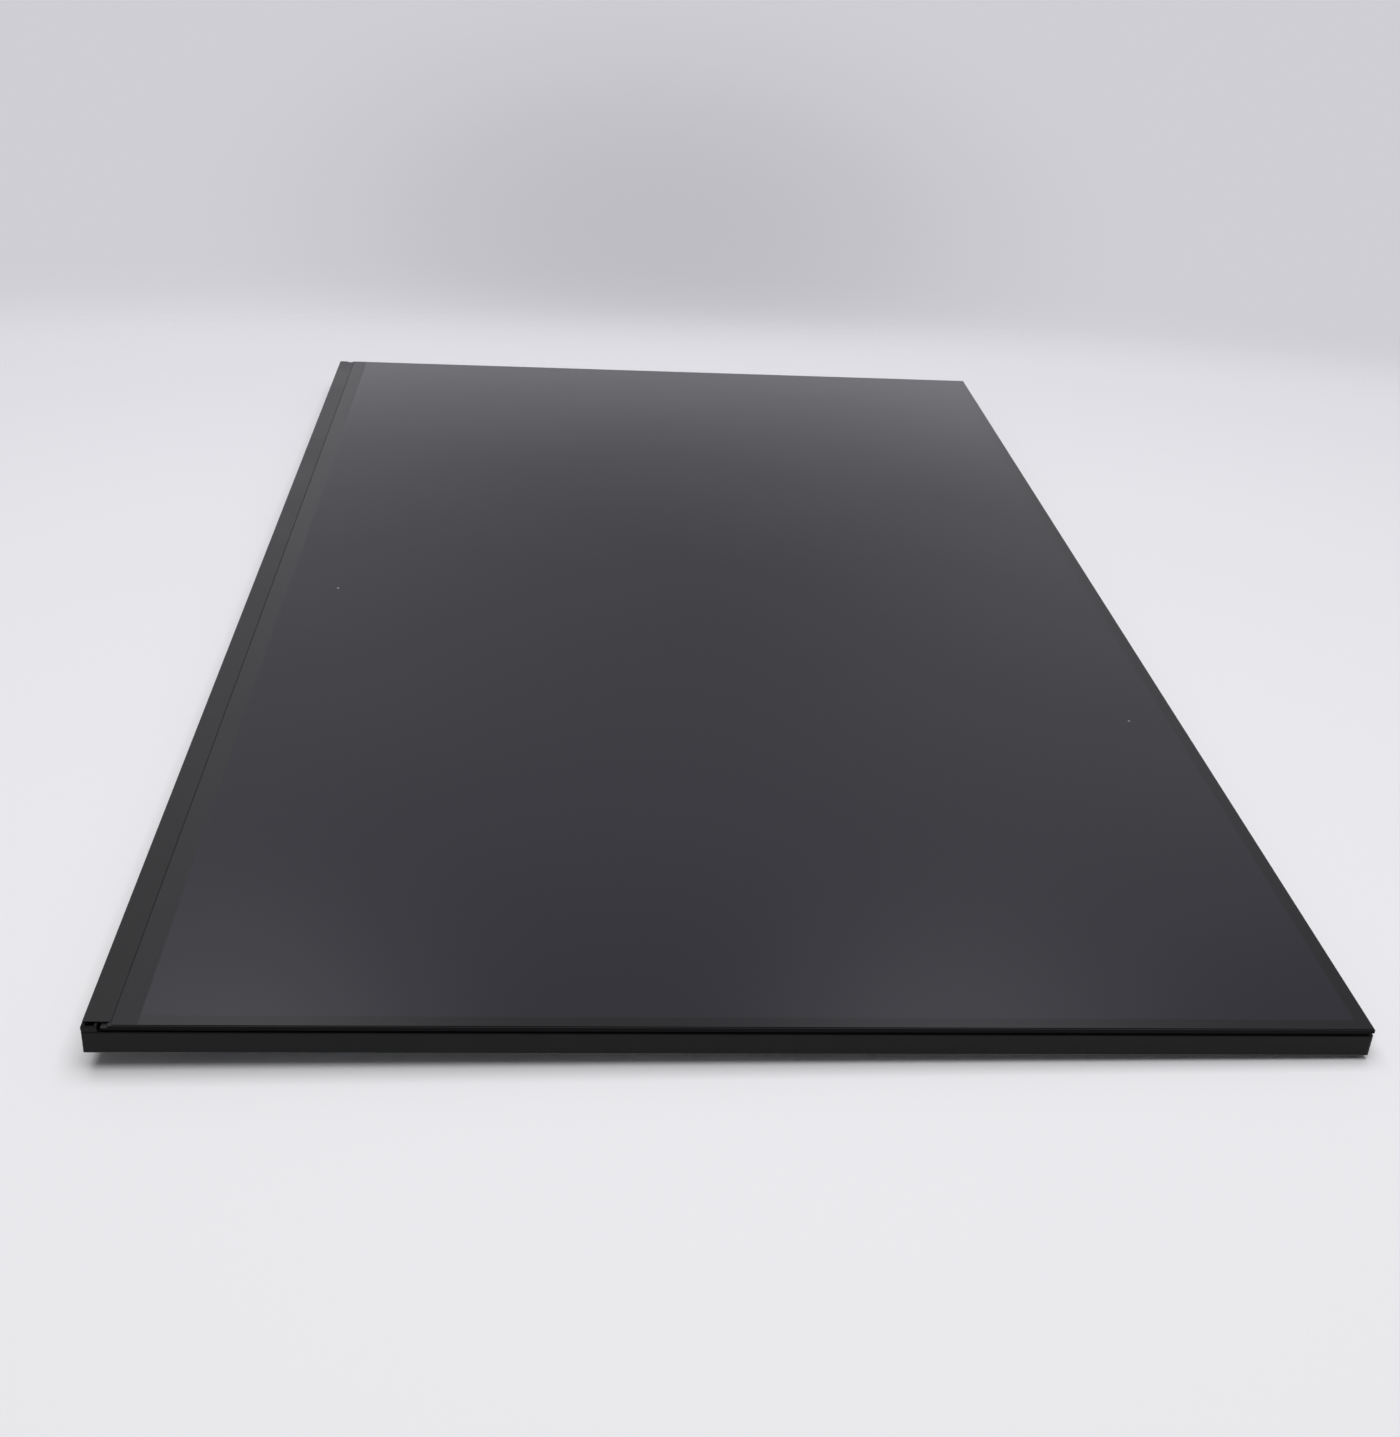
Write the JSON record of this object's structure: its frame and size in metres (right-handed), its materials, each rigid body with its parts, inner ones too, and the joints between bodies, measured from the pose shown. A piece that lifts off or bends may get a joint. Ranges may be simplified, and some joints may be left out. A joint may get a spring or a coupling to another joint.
{
  "type": "touchscreen lcd panel",
  "caption": "Bare flat touchscreen display module with narrow black borders, a matte strip over its connection side, a black plastic frame and a beaded steel chassis with boards behind.",
  "frame": {"origin": "under the middle of the module's box, at the height of the control shield's outer face", "axes": "+X along the long side, +Y up the picture away from the cover strip, +Z out of the screen"},
  "size_m": [0.535, 0.3134, 0.0124],
  "materials": {
    "galvanised_steel": "satin, faint spangle",
    "tinned_steel": "semi-bright tinned",
    "black_polycarbonate": "fine moulded texture",
    "reflector_film": "white satin",
    "clear_acrylic": "polished",
    "white_silicone": "matte",
    "diffuser_film": "frosted",
    "prism_film": "fine prisms",
    "mill_aluminium": "mill finish",
    "thermal_tape": "matte",
    "white_solder_mask": "satin",
    "phosphor_package": "satin",
    "black_foam": "matte foam",
    "polariser_film": "satin",
    "display_glass": "polished, dark through the cell",
    "anti_glare_film": "anti-glare haze",
    "matte_strip": "matte film",
    "polyimide_film": "amber film over copper tracks",
    "chip_resin": "moulded epoxy",
    "green_solder_mask": "green solder mask",
    "chip_parts": "tinned ends",
    "ferrite": "ground ferrite",
    "flat_cable_jacket": "white film with a ribbed look",
    "socket_nylon": "cream nylon",
    "socket_steel": "plated",
    "insulation_film": "black film",
    "zinc_plate": "zinc plated",
    "conductive_cloth": "nickel-coated cloth"
  },
  "bodies": {
    "root": {"bottom_chassis": "galvanised_steel", "control_shield": "tinned_steel", "mould_frame": "black_polycarbonate", "reflector_sheet": "reflector_film", "light_guide_plate": "clear_acrylic", "guide_plate_cushions": "white_silicone", "lower_diffuser_sheet": "diffuser_film", "upper_diffuser_sheet": "diffuser_film", "lower_prism_sheet": "prism_film", "upper_prism_sheet": "prism_film", "led_heat_spreader": "mill_aluminium", "led_thermal_tape": "thermal_tape", "led_bar_board": "white_solder_mask", "led_packages": "phosphor_package", "cell_foam_tape": "black_foam", "rear_polariser": "polariser_film", "array_glass": "display_glass", "colour_filter_glass": "display_glass", "front_polariser": "anti_glare_film", "pad_cover_strip": "matte_strip", "driver_films": "polyimide_film", "backlight_tail": "polyimide_film", "driver_chips": "chip_resin", "timing_controller_chip": "chip_resin", "touch_controller_chip": "chip_resin", "source_boards": "green_solder_mask", "control_board": "green_solder_mask", "source_board_parts": "chip_parts", "control_board_parts": "chip_parts", "power_inductors": "ferrite", "link_flat_cables": "flat_cable_jacket", "flat_cable_sockets": "socket_nylon", "display_socket_body": "socket_nylon", "touch_socket": "socket_nylon", "backlight_socket": "socket_nylon", "display_socket_shell": "socket_steel", "insulation_sheet": "insulation_film", "board_screws": "zinc_plate", "shield_screws": "zinc_plate", "grounding_tapes": "conductive_cloth"}
  },
  "joints": []
}
